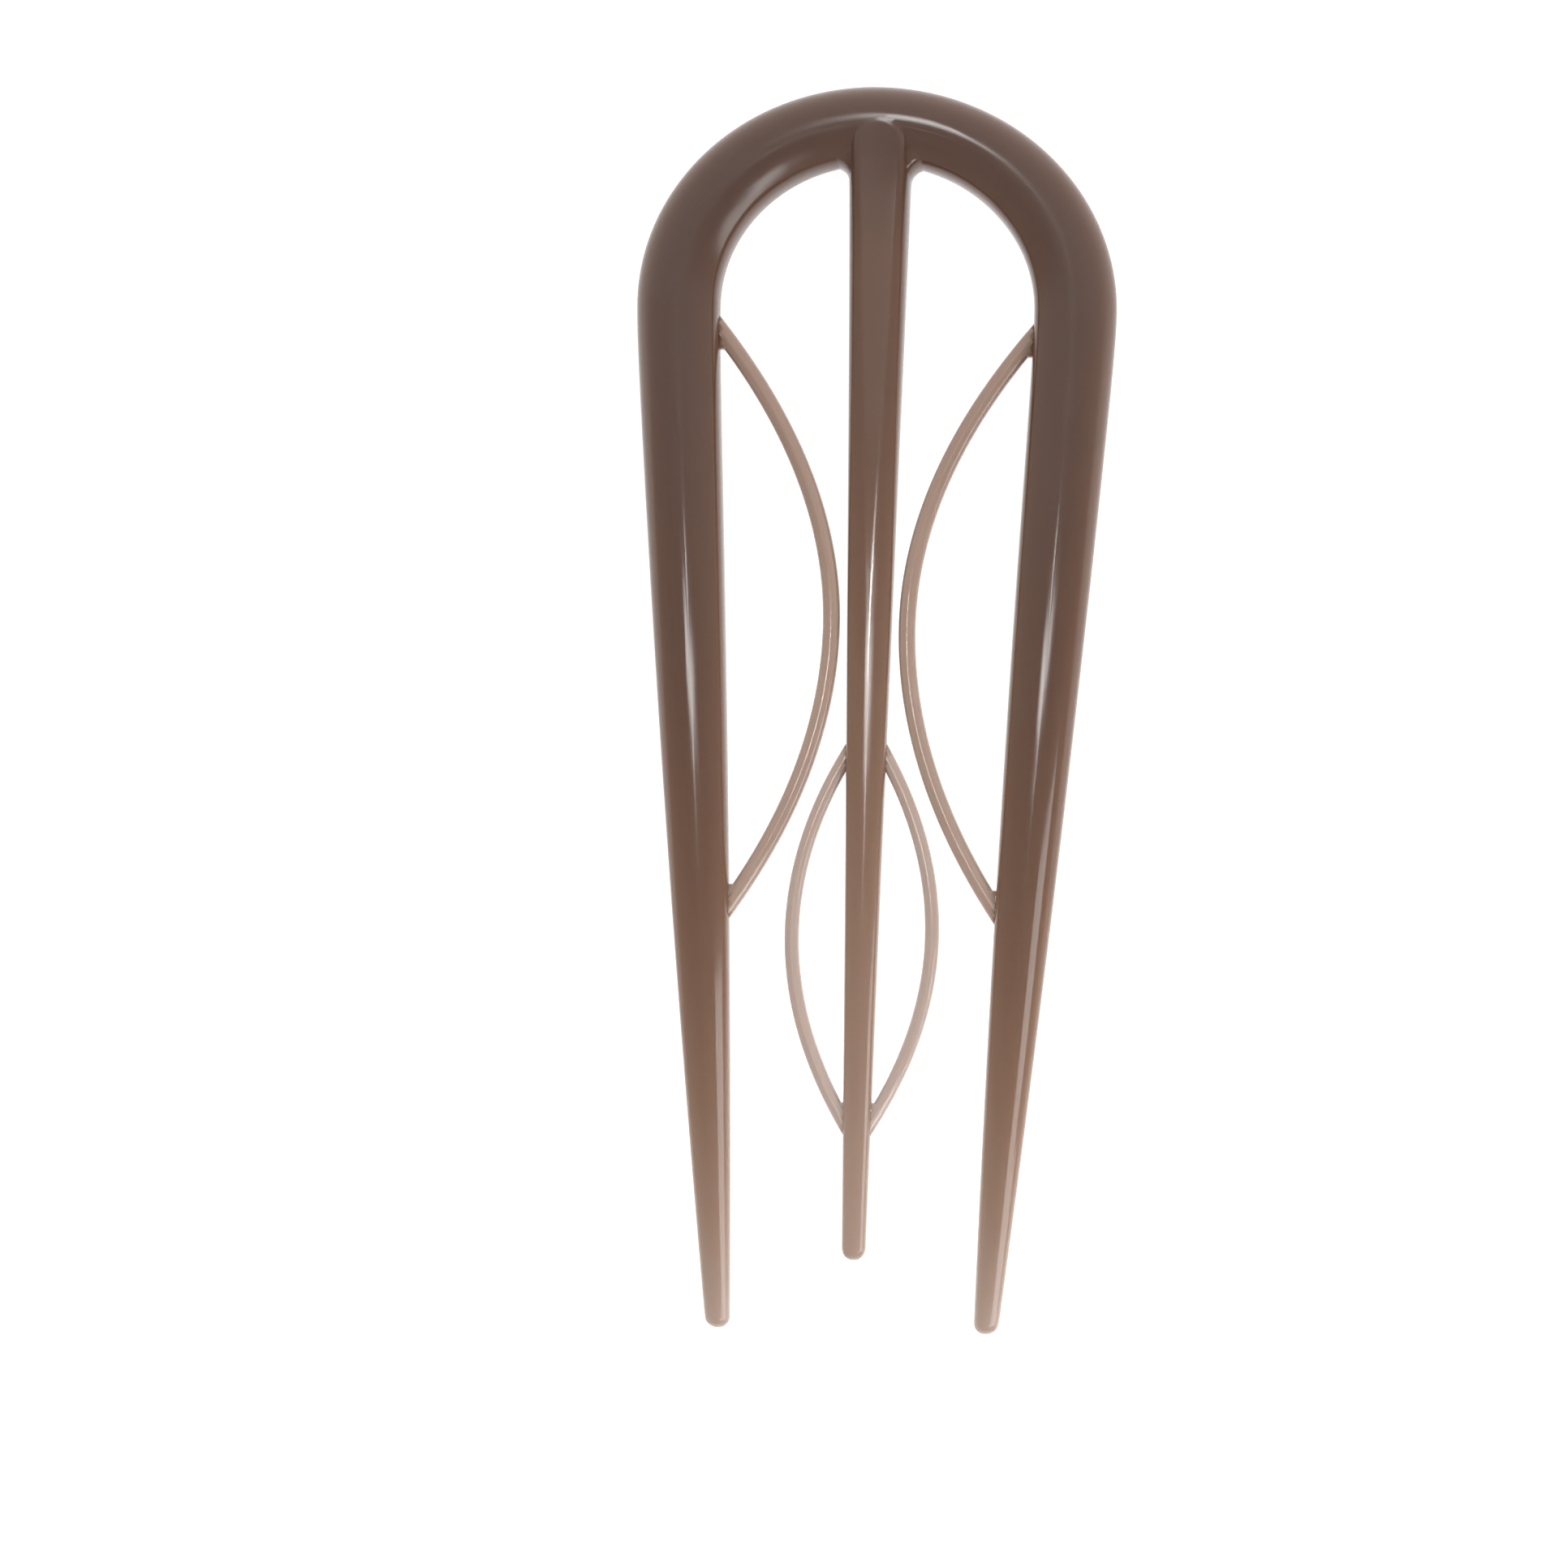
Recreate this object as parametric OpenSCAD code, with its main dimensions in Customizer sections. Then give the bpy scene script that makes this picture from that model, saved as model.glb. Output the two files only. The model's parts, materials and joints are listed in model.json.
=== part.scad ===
// U-shaped hairpin, moulded in one piece and lying on its flat back.
// X runs across the pin, Y along it with the arch at +Y, and Z up from the back.
// The origin is the middle of the pin's length and width, on the back.
// Distances called "down" are measured from the top of the arch towards the tips.

/* [Overall] */
// Length from the top of the arch to the tips of the legs
pin_l = 100; // [92:1:110]
// Width across the arch at its widest
pin_w = 38.5; // [37:0.5:42]
// Thickness of the arch
arch_t = 5; // [4.4:0.1:5.4]

/* [Arch and legs] */
// Height of the arch above the line where the legs start
arch_h = 17.7; // [17:0.1:19]
// Width of the band at the crown of the arch
crown_w = 6.1; // [5.5:0.1:6.5]
// Width of the band where the arch becomes a leg
shoulder_w = 6.65; // [6:0.05:7.2]
// Width of a leg at its tip
leg_tip_w = 1.95; // [1.6:0.05:2.4]
// Lean of each leg towards the middle, in degrees
leg_lean = 3.7; // [3.2:0.1:4]

/* [Middle prong] */
// Distance down to the rounded head of the prong
head_down = 3.2; // [2.8:0.1:4]
// Distance down to the tip of the prong
prong_down = 94.3; // [92:0.1:96]
// Width of the prong at its root
prong_root_w = 5.12; // [4.8:0.02:5.3]
// Width of the prong at its tip
prong_tip_w = 1.9; // [1.6:0.05:2.2]
// Thickness of the prong as a share of its width
prong_depth = 0.8; // [0.7:0.01:0.85]
// How much the prong's front rises further at its head
head_rise = 0.8; // [0.4:0.05:0.9]
// Radius of the fillets between the prong and the arch
root_fillet = 1.3; // [0.8:0.1:1.5]

/* [Bowed ribs] */
// Distance down to where a rib comes nearest the prong
rib_apex_down = 43.2; // [41:0.1:45]
// Distance of a rib's centre line from the middle there
rib_apex_x = 3.05; // [2.95:0.05:3.6]
// Distance down to where a rib leaves the leg
rib_top_down = 19.7; // [19:0.1:21]
// Distance down to where a rib returns to the leg
rib_low_down = 65.8; // [64:0.1:67]
// Width of a rib
rib_w = 1.38; // [1.2:0.02:1.5]
// Thickness of a rib
rib_t = 1.35; // [1.1:0.05:1.5]

/* [Leaf loop] */
// Distance down to the widest place of the loop
leaf_down = 68; // [67:0.5:69]
// Distance of a loop bar's centre line from the middle there
leaf_x = 5.65; // [5:0.05:5.9]
// Length between the points where the two centre lines would cross
leaf_l = 33.8; // [32:0.2:35]
// Width of a loop bar
leaf_w = 1.16; // [1:0.02:1.3]
// Thickness of a loop bar
leaf_t = 1.15; // [1:0.05:1.3]

/* [Section] */
// Rounding of the edges of the flat back
edge_round = 0.55; // [0.3:0.05:0.7]
// Height of the widest line, as a share of the thickness
widest_at = 0.36; // [0.32:0.01:0.42]
// How far a steep side wall leans in between the widest line and its crease
wall_in = 0.44; // [0.3:0.02:0.5]
// Drop of the legs' front from the crest to the inner crease, as a share of that distance
leg_drop = 0.36; // [0.25:0.01:0.4]
// The same for the middle prong
prong_drop = 0.26; // [0.15:0.01:0.3]
// The same for the thin bars
bar_drop = 0.45; // [0.3:0.01:0.5]
// Half width of the flat facet at the prong's head
facet_half = 1.75; // [1:0.05:1.8]

/* [Hidden] */

top_y = pin_l / 2;
spring_y = top_y - arch_h;
leg_l = pin_l - arch_h;
shoulder_x = (pin_w - shoulder_w) / 2;
// Distance over which a leg bends from straight down into its lean
leg_bend = 3;
// Straight share of the leg's taper; the rest grows with the square of the distance
leg_straight = 0.365;
// The same for the prong, whose taper slows a little towards its tip
prong_straight = 1.125;
// Distance over which the rise of the prong's head fades out
head_fade = 9;
// Distance over which the facet narrows away, and the powers of the front's curve with and without it
facet_l = 38;
facet_power = 1.2;
round_power = 2;
// A side wall is never more than this share of a thin bar's half width
wall_share = 0.32;
// Height of the bend of a side wall, as a share of the wall
wall_bend = 0.59;
// Distance down to the start of the fillets, inside the arch's inner edge
fillet_down = 6.44;
flare_sink = 2;
// How far the thin bars run on into the legs and the prong
bar_sink = 1.34;
// How far along the webs reach from where two centre lines or a centre line and a wall cross
rib_web_l = 1.6;
leaf_web_l = 4.5;
// Radius of a web's edge, and how deep it is rooted in the wall
web_r = 0.25;
web_sink = 0.33;

// Steps round a quarter of a section: its back edge, its side wall and its front
thick_steps = [3, 3, 5];
thin_steps = [2, 1, 3];
arch_n = 36;
leg_n = 17;
prong_n = 22;
bar_n = 24;
tip_angles = [22, 44, 66, 84];
head_angles = [12, 28, 46, 66, 90];

prong_color = [0.43, 0.33, 0.28];

function mix(a, b, k) = a + (b - a) * k;
function reversed(list) = [for (i = [len(list) - 1:-1:0]) list[i]];
function y_at(down) = top_y - down;

// A point of a curve that leaves a towards b and arrives at c from b
function bend(a, b, c, k) = a * (1 - k) * (1 - k) + b * 2 * k * (1 - k) + c * k * k;

function back_edge(half_w, z_wide, n) =
    let (e = min(edge_round, half_w / 2))
    [for (i = [0:n]) let (a = 90 * i / n) [half_w - e + e * sin(a), z_wide * (1 - cos(a))]];

// Half a section with a steep side wall, from the back edge to the crest, as [across, up].
// The front is flat up to the facet's half width and then drops to the crease.
function walled_half(half_w, thick, drop, facet, power, steps) =
    let (
        z_wide = widest_at * thick,
        crease_x = half_w - min(wall_in, wall_share * half_w),
        crease_z = thick - drop * crease_x,
        bend_z = z_wide + wall_bend * (crease_z - z_wide)
    )
    concat(
        back_edge(half_w, z_wide, steps[0]),
        [for (i = [1:steps[1]])
            bend([half_w, z_wide], [half_w, bend_z], [crease_x, crease_z], i / steps[1])],
        [for (i = [steps[2] - 1:-1:0])
            let (
                u = crease_x * i / steps[2],
                k = max(0, u - facet) / (crease_x - facet)
            )
            [u, thick - drop * crease_x * pow(k, power)]]
    );

// Half a section with a round side, with the same number of points
function round_half(half_w, thick, steps) =
    let (
        z_wide = widest_at * thick,
        n = steps[1] + steps[2]
    )
    concat(
        back_edge(half_w, z_wide, steps[0]),
        [for (i = [1:n]) let (a = 90 * i / n)
            [half_w * cos(a), z_wide + (thick - z_wide) * sin(a)]]
    );

// A whole section, anticlockwise from the right end of the flat back
function mirrored(half) = [for (i = [len(half) - 2:-1:0]) [-half[i].x, half[i].y]];
function even_section(half_w, thick, drop, facet = 0, power = round_power, steps = thick_steps) =
    let (half = walled_half(half_w, thick, drop, facet, power, steps))
    concat(half, mirrored(half));
function leg_section(half_w, thick) =
    concat(
        round_half(half_w, thick, thick_steps),
        mirrored(walled_half(half_w, thick, leg_drop, 0, round_power, thick_steps))
    );

// One ring of a bar: a section at its middle, along a direction across it, shrunk about its widest line
function ring(outline, mid, across, thick, base_z = 0, size = 1) =
    let (z_wide = widest_at * thick)
    [for (q = outline)
        [
            mid.x + across.x * q.x * size,
            mid.y + across.y * q.x * size,
            base_z + z_wide + (q.y - z_wide) * size
        ]];

// A ring between the inner and the outer edge of the frame
function edge_ring(inner, outer, thick, size = 1) =
    let (width = norm(outer - inner))
    ring(leg_section(width / 2, thick), (inner + outer) / 2, (outer - inner) / width, thick, size = size);

// A leg at a distance below the arch: its centre line, its width and its thickness, which keeps its share
function leg_x(d) = shoulder_x - tan(leg_lean) * (sqrt(d * d + leg_bend * leg_bend) - leg_bend);
function leg_w(d) =
    let (k = d / leg_l)
    mix(shoulder_w, leg_tip_w, leg_straight * k + (1 - leg_straight) * k * k);
function leg_t(d) = arch_t * leg_w(d) / shoulder_w;
function leg_inner_x(down) = leg_x(down - arch_h) - leg_w(down - arch_h) / 2;

function leg_ring(side, d, d_shape, size = 1) =
    let (
        x = leg_x(d),
        half = leg_w(d_shape) / 2
    )
    edge_ring([side * (x - half), spring_y - d], [side * (x + half), spring_y - d], leg_t(d_shape), size);

// The rings of one leg from the arch to its rounded tip
function leg_rings(side) =
    let (
        tip_r = leg_tip_w / 2,
        end = leg_l - tip_r
    )
    concat(
        [for (i = [0:leg_n]) let (d = end * pow(i / leg_n, 1.3)) leg_ring(side, d, d)],
        [for (a = tip_angles) leg_ring(side, end + tip_r * sin(a), end, cos(a))]
    );

function arch_ring(angle) =
    edge_ring(
        [(pin_w / 2 - shoulder_w) * cos(angle), spring_y + (arch_h - crown_w) * sin(angle)],
        [pin_w / 2 * cos(angle), spring_y + arch_h * sin(angle)],
        arch_t
    );

// The prong at a distance down: its width, its thickness, its facet and the power of its front
function prong_w(down) =
    let (k = (down - head_down) / (prong_down - head_down))
    mix(prong_root_w, prong_tip_w, prong_straight * k + (1 - prong_straight) * k * k);
function prong_t(down) =
    prong_depth * prong_w(down) + head_rise * exp(-pow((down - head_down) / head_fade, 2));
function facet_left(down) = max(0, 1 - (down - head_down) / facet_l);

function prong_ring(down, half_w, thick, facet = 0, power = round_power, size = 1) =
    ring(even_section(half_w, thick, prong_drop, facet, power), [0, y_at(down)], [1, 0], thick, size = size);

// The rings of the prong from its round head to its rounded tip
function prong_rings() =
    let (
        head_r = prong_root_w / 2,
        body_start = head_down + head_r,
        tip_r = prong_tip_w / 2,
        body_end = prong_down - tip_r
    )
    concat(
        [for (a = head_angles) let (half = head_r * sin(a))
            prong_ring(head_down + head_r * (1 - cos(a)), half, prong_t(head_down),
                facet_half * half / head_r, facet_power)],
        [for (i = [1:prong_n])
            let (
                s = mix(body_start, body_end, i / prong_n),
                left = facet_left(s),
                power = mix(round_power, facet_power, left)
            )
            prong_ring(s, prong_w(s) / 2, prong_t(s), facet_half * left, power)],
        [for (a = tip_angles)
            prong_ring(body_end + tip_r * sin(a), tip_r, prong_t(body_end), size = cos(a))]
    );

// The rings of the flare that fillets the prong into the arch; the first lies inside the arch
function flare_ring(start, depth) =
    let (s = fillet_down + depth)
    prong_ring(
        start,
        prong_w(s) / 2 + root_fillet - sqrt(depth * (2 * root_fillet - depth)),
        prong_t(s) - head_rise - depth
    );
function flare_rings() =
    concat(
        [flare_ring(fillet_down - flare_sink, 0)],
        [for (a = [0, 20, 40, 60, 80]) let (depth = root_fillet * (1 - cos(a)))
            flare_ring(fillet_down + depth, depth)]
    );

// Centre lines of the thin bars on the right side, as their distance from the middle
function rib_x(down) =
    let (
        end = down < rib_apex_down ? rib_top_down : rib_low_down,
        k = (down - rib_apex_down) / (end - rib_apex_down)
    )
    mix(rib_apex_x, leg_inner_x(end), k * k);
function leaf_bar_x(down) = leaf_x * (1 - pow((down - leaf_down) / (leaf_l / 2), 2));

// Heights of the thin bars: their middle follows the widest line of what carries them
function rib_z(down) = widest_at * leg_t(down - arch_h);
function leaf_z(down) = widest_at * prong_t(down);

// One ring of a thin bar, square to its centre line
function bar_ring(side, down, x, slope, w, t, z) =
    ring(even_section(w / 2, t, bar_drop, steps = thin_steps), [side * x, y_at(down)],
        [1, side * slope] / norm([1, slope]), t, base_z = z - t / 2);

function rib_rings(side) =
    [for (i = [0:bar_n])
        let (
            s = mix(rib_top_down - bar_sink, rib_low_down + bar_sink, i / bar_n),
            slope = (rib_x(s + 0.1) - rib_x(s - 0.1)) / 0.2
        )
        bar_ring(side, s, rib_x(s), slope, rib_w, rib_t, rib_z(s))];

function leaf_rings(side) =
    [for (i = [0:bar_n])
        let (
            s = mix(leaf_down - leaf_l / 2 + bar_sink, leaf_down + leaf_l / 2 - bar_sink, i / bar_n),
            slope = (leaf_bar_x(s + 0.1) - leaf_bar_x(s - 0.1)) / 0.2
        )
        bar_ring(side, s, leaf_bar_x(s), slope, leaf_w, leaf_t, leaf_z(s))];

// A closed skin over a list of rings that all have the same number of points
module loft(rings) {
    n = len(rings[0]);
    last = (len(rings) - 1) * n;
    skin = [for (r = [0:len(rings) - 2], i = [0:n - 1])
        let (
            a = r * n + i,
            b = r * n + (i + 1) % n
        )
        each [[a, b + n, b], [a, a + n, b + n]]];
    start_cap = [[for (i = [0:n - 1]) i]];
    end_cap = [[for (i = [n - 1:-1:0]) last + i]];
    polyhedron(points = [for (r = rings, p = r) p], faces = concat(skin, start_cap, end_cap));
}

module frame() {
    arch = [for (i = [1:arch_n - 1]) arch_ring(180 - 180 * i / arch_n)];
    loft(concat(reversed(leg_rings(-1)), arch, leg_rings(1)));
}

module prong() {
    loft(prong_rings());
    loft(flare_rings());
}

// A web in the sharp corner between a thin bar and its neighbour, from the corner to where the gap has opened
module web(side, corner, bar_end, wall_end, z, t) {
    hull()
        for (p = [corner, bar_end, wall_end])
            translate([side * p.x, y_at(p.y), z - 0.4 * t])
                cylinder(h = 0.8 * t, r = web_r, $fn = 12);
}

// The webs at both ends of a rib, on the side of the leg
module rib_webs(side) {
    for (end = [[rib_top_down, 1], [rib_low_down, -1]]) {
        open = end[0] + end[1] * rib_web_l;
        web(side, [leg_inner_x(end[0]), end[0]], [rib_x(open), open], [leg_inner_x(open) + web_sink, open],
            rib_z(open), rib_t);
    }
}

// The webs at both ends of a loop bar, on the side of the prong
module leaf_webs(side) {
    for (end = [[leaf_down - leaf_l / 2, 1], [leaf_down + leaf_l / 2, -1]]) {
        open = end[0] + end[1] * leaf_web_l;
        web(side, [0, end[0]], [leaf_bar_x(open), open], [prong_w(open) / 2 - web_sink, open],
            leaf_z(open), leaf_t);
    }
}

module hairpin() {
    color(prong_color)
        union() {
            frame();
            prong();
            for (side = [-1, 1]) {
                loft(rib_rings(side));
                loft(leaf_rings(side));
                rib_webs(side);
                leaf_webs(side);
            }
        }
}

hairpin();
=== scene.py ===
"""Looks of a u-shaped hairpin: one glossy, translucent brown moulding, lying on its flat back."""

import json
from math import cos, exp, hypot, pi, radians, sin, tan

import bmesh
import bpy
from bpy.props import FloatProperty, FloatVectorProperty, PointerProperty
from mathutils import Matrix, Vector
from mathutils.bvhtree import BVHTree

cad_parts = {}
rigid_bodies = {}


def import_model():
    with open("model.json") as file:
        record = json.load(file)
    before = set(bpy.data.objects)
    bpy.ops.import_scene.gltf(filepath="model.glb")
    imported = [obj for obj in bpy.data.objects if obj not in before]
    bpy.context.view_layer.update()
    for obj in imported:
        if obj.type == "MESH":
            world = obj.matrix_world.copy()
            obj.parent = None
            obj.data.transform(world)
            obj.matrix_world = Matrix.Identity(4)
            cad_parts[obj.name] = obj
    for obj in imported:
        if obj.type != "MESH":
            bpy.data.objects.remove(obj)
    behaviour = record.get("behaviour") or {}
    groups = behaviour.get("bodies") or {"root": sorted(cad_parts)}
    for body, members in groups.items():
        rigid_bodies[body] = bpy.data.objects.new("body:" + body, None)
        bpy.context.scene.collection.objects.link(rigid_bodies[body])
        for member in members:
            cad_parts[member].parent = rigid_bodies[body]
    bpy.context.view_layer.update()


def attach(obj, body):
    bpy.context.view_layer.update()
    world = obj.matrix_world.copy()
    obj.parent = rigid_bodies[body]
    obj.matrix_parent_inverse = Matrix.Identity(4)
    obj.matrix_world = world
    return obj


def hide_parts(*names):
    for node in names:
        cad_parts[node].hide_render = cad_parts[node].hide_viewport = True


bl_info = {
    "name": "U-shaped hairpin",
    "version": (1, 0, 0),
    "blender": (4, 5, 0),
    "location": "View3D > Sidebar > Hairpin",
    "description": "Builds the moulded hairpin and the studio round it",
    "category": "Object",
}

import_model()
CAD_NODE = "hairpin"
BODY = "root"

MM = 0.001

# Steps round half a section
BACK_STEPS = 5
WALL_STEPS = 5
CREASE_STEPS = 3
FRONT_STEPS = 10
THIN_FRONT_STEPS = 6

# Steps along the bars
ARCH_STEPS = 80
LEG_STEPS = 100
PRONG_STEPS = 110
RIB_STEPS = 90
LEAF_STEPS = 70
HEAD_STEPS = 36

# Angles in degrees of the rings round a tip, and of those along a fillet
TIP_ANGLES = range(9, 90, 9)
FILLET_ANGLES = range(70, 190, 5)


def length(name, value, description):
    """A size that is given in millimetres and kept in metres"""
    return FloatProperty(
        name=name, description=description, default=value * MM, unit="LENGTH", subtype="DISTANCE", precision=5
    )


def share(name, value, description):
    """A plain ratio that the sidebar shows"""
    return FloatProperty(name=name, description=description, default=value, precision=3)


class HairpinSizes(bpy.types.PropertyGroup):
    """Sizes of the moulding"""

    pin_l: length("Length", 100, "From the top of the arch to the tips of the legs")
    pin_w: length("Width", 38.5, "Across the arch at its widest")
    arch_t: length("Arch thickness", 4.9, "Thickness of the arch")
    arch_h: length("Arch height", 17.7, "From the line where the legs start to the top of the arch")
    crown_w: length("Crown width", 6.1, "Width of the band at the crown")
    shoulder_w: length("Shoulder width", 6.65, "Width of the band where the arch becomes a leg")
    leg_tip_w: length("Leg tip width", 1.95, "Width of a leg at its tip")
    leg_lean: FloatProperty(
        name="Leg lean",
        description="Lean of each leg towards the middle",
        default=radians(3.7),
        subtype="ANGLE",
    )
    head_down: length("Head", 3.2, "Distance down from which the prong's taper is counted")
    prong_down: length("Prong end", 94.3, "Distance down to the tip of the prong")
    prong_root_w: length("Prong root width", 5.12, "Width of the prong where its taper starts")
    prong_tip_w: length("Prong tip width", 1.9, "Width of the prong at its tip")
    prong_depth: share("Prong depth", 0.8, "Thickness of the prong as a share of its width")
    head_rise: length("Head rise", 0.78, "How much the prong's front rises further at its head")
    root_fillet: length("Root fillet", 1.3, "Radius of the fillets between the prong and the arch")
    rib_apex_down: length("Rib apex", 43.2, "Distance down to where a rib comes nearest the prong")
    rib_apex_x: length("Rib apex offset", 3.05, "Distance of a rib from the middle there")
    rib_top_down: length("Rib top", 19.7, "Distance down to where a rib leaves the leg")
    rib_low_down: length("Rib bottom", 65.8, "Distance down to where a rib returns to the leg")
    rib_w: length("Rib width", 1.38, "Width of a rib")
    rib_t: length("Rib thickness", 1.35, "Thickness of a rib")
    leaf_down: length("Loop middle", 68, "Distance down to the widest place of the loop")
    leaf_x: length("Loop offset", 5.65, "Distance of a loop bar from the middle there")
    leaf_l: length("Loop length", 33.8, "Length between the crossings of the two loop bars")
    leaf_w: length("Loop bar width", 1.16, "Width of a loop bar")
    leaf_t: length("Loop bar thickness", 1.15, "Thickness of a loop bar")
    edge_round: length("Back rounding", 0.55, "Rounding of the edges of the flat back")
    wall_in: length("Wall lean", 0.55, "How far a side wall leans in on its way up to the crease")
    prong_wall_in: length("Prong wall lean", 0.27, "The same on the lower prong")
    head_wall_in: length("Head wall lean", 0.62, "The same at the prong's head")
    crease_r: length("Crease radius", 0.1, "Rounding of the crease over a side wall")


class HairpinFinish(bpy.types.PropertyGroup):
    """Tints and gloss of the plastic; the tints are its own brown together with painted light from the floor
    shining through it, paler where it is thin
    """

    thick_color: FloatVectorProperty(
        name="Thick colour",
        description="Colour of very thick plastic",
        default=(0.066, 0.0455, 0.0337),
        subtype="COLOR",
        min=0,
        max=1,
    )
    thin_painted_light_gain: FloatVectorProperty(
        name="Thin gain",
        description="What the thinnest plastic adds to the thick colour, for red, green and blue",
        default=(1.02, 1.24, 1.55),
    )
    tint_fall: FloatVectorProperty(
        name="Tint fall",
        description="How fast the gain falls over each millimetre of thickness, for red, green and blue",
        default=(0.66, 0.975, 1.25),
    )
    roughness: FloatProperty(name="Roughness", description="Roughness of the glossy surface", default=0.09)
    satin: FloatProperty(name="Satin", description="Roughness of the arch, which is less glossy", default=0.2)


class HairpinStudio(bpy.types.PropertyGroup):
    """Camera and view"""

    camera_up: length("Camera height", 250, "Height of the camera over the widest line of the legs")
    frame_w: length("View width", 125.83, "Width of the view at the pin")
    roll: FloatProperty(
        name="Roll",
        description="Turn of the camera against the pin",
        default=radians(1.5),
        subtype="ANGLE",
    )


# Sections: how far up they are widest, the most of a half width that a wall leans in and how far up it bends
WIDEST_AT = 0.36
WALL_SHARE = 0.36
WALL_BEND = 0.85

# How much a front falls to its crease, as a share of its half width: legs at the arch and at their tips,
# prong and thin bars
LEG_DROP = 0.36
LOW_LEG_DROP = 0.31
PRONG_DROP = 0.26
BAR_DROP = 0.3

# Powers of the fronts' curves, and the flat ridge of a thin bar as a share of its front
ROUND_POWER = 2
BAR_POWER = 1.2
BAR_RIDGE = 0.12

# Flat facet on the prong's front: its length, its share of the front at the head and its fall to the crease
FACET_L = 38 * MM
FACET_SHARE = 0.97
FACET_FALL = 0.04 * MM

# How soon the prong's walls reach their full lean on the way up to the head
WALL_GROWTH = 1.4

# Bars along their length: how softly a leg starts to lean, how evenly legs and prong taper, how a leg's rings
# are spaced, and the step over which a slope is measured
LEG_BEND = 3 * MM
LEG_STRAIGHT = 0.365
LEG_SPACING = 1.15
PRONG_STRAIGHT = 1.125
SLOPE_STEP = 0.1 * MM

# Round head of the prong
HEAD_FADE = 9 * MM
HEAD_MID_DOWN = 5.7 * MM
HEAD_REACH = 3.6 * MM
HEAD_FACET = 2.5 * MM
HEAD_FALL = 0.2 * MM
HEAD_WALL_IN = 0.3 * MM
HEAD_POWER = 1.2

# Fillets between the prong and the arch
FILLET_DOWN = 6.44 * MM
FILLET_HALF = 2.2 * MM
FILLET_T = 4.35 * MM
FILLET_FALL = 0.4 * MM
FILLET_WALL_IN = 0.5 * MM

# How far the thin bars run on into the thick ones
BAR_SINK = 1.34 * MM
LEAF_SINK = 0.85 * MM

# Webs in the corners: how many on each side, their lengths, their edges, how deep they sit in a thick bar,
# and their thickness as a share of the thin bar's
WEB_COUNT = 4
RIB_WEB_L = 1.6 * MM
LEAF_WEB_L = 3.3 * MM
WEB_BEVEL = 0.125 * MM
WEB_SINK = 0.33 * MM
WEB_SHARE = 0.8

# In metres: how far a point may stand from where it is expected, how near points are merged, and the same
# where the rings of the head meet
SAME_POINT = 1e-6
MERGE = 1e-7
HEAD_MERGE = 2e-6

# Edges that turn less than this are shaded smooth
SMOOTH_ANGLE = radians(32)

# How far inside the skin the thickness is read, the step past each wall, and the margin beside thick bars
NUDGE = 0.4 * MM
RAY_STEP = 0.003 * MM
EDGE_MARGIN = 0.1 * MM

# How much thicker the thin bars look at the top of the ribs and at the middle of the loop, and the prong, so
# that less painted light from the floor shines through them
BAR_DARKER = (1.32, 1.17)
PRONG_DARKER = 1.06

# The thickness that the prong looks no darker than, what its head adds to it, and where that begins
PRONG_DEEPEST = 3.65 * MM
HEAD_DEEPER = 0.9 * MM
HEAD_DEEPER_DOWN = 15 * MM

# Thicknesses in millimetres at which the tint is set, and the thickness at the end of its ramp. The tint is
# the plastic's own brown with painted light from the floor shining up through it, paler, up to near white,
# where the plastic is thin
TINT_STEPS = [0, 0.5, 1, 1.5, 2, 2.5, 3, 3.5, 4, 5]
TINT_END = 6

# How the plastic bends light, how far light wanders in it, and the share of that for red, green and blue
IOR = 1.49
SCATTER = 0.5 * MM
SCATTER_COLORS = (1, 0.6, 0.45)

# In metres: where the satin of the arch starts, and the glossy place right of the prong's head
SATIN_Y = (0.018, 0.029)
GLOSS_FROM_X = (-0.001, 0.0015)
GLOSS_TO_X = (0.011, 0.006)
GLOSS_Y = (0.039, 0.0435)

# Waves of the surface: how close they are along each axis, how many in a metre and their height
WAVE_STRETCH = (1, 0.25, 1)
WAVE_SCALE = 500
WAVE_HEIGHT = 0.02 * MM

# Sky: its least strength, and from, to and gain of each smooth rise over one part of the direction
SKY_LEAST = 0.52
SKY_NORTH = (-0.08, 0.22, 0.52)
SKY_LOW = (0.5, 0.0, 0.1)
SKY_FAR_NORTH = (0.5, 1.0, 0.1)

# Floor: its size in metres, colour, roughness and glow
FLOOR_SIZE = 6
FLOOR_COLOR = (0.4, 0.4, 0.4, 1)
FLOOR_ROUGHNESS = 0.9
FLOOR_GLOW = 0.9

# Overhead light over the legs, in millimetres: middle and depth, the places its strips meet at, their
# radiance, where on the pin they aim and how wide they spread
KEY_Y = -14
KEY_Z = 500
KEY_DEEP = 88
KEY_EDGES = [-75, -45, -15, 15, 40, 65, 90, 130]
KEY_RADIANCE = [13, 13, 13, 11, 6.5, 3.5, 1.8]
KEY_AIM = (0, -25, 0)
KEY_SPREAD = radians(15)

# Other lights, in millimetres: name, middle, size, radiance, where they aim and how wide they spread
LIGHTS = [
    ("crown_spot", (-2, 78, 100), (18, 34), 13, (3, 47, 4), radians(20)),
    ("east_softbox", (333, -367, 500), (150, 170), 6, (0, 0, 0), pi),
    ("low_east_softbox", (352, -165, 250), (275, 210), 4, (352, -165, 0), pi),
    ("prong_spot", (1, 6.9, 100), (14, 7), 30, (0, 7.5, 3), radians(12)),
]

# Camera, in millimetres: middle of the view, the place under it, the height that is in scale, the width of
# its film and the nearest distance that it sees
FRAME_MID = (-6.64, -5.89)
CAMERA_OVER = (18, -5.89)
SCALE_Z = 1.8
FILM_W = 36
NEAREST = 10


def sizes():
    return bpy.context.scene.hairpin_sizes


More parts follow.
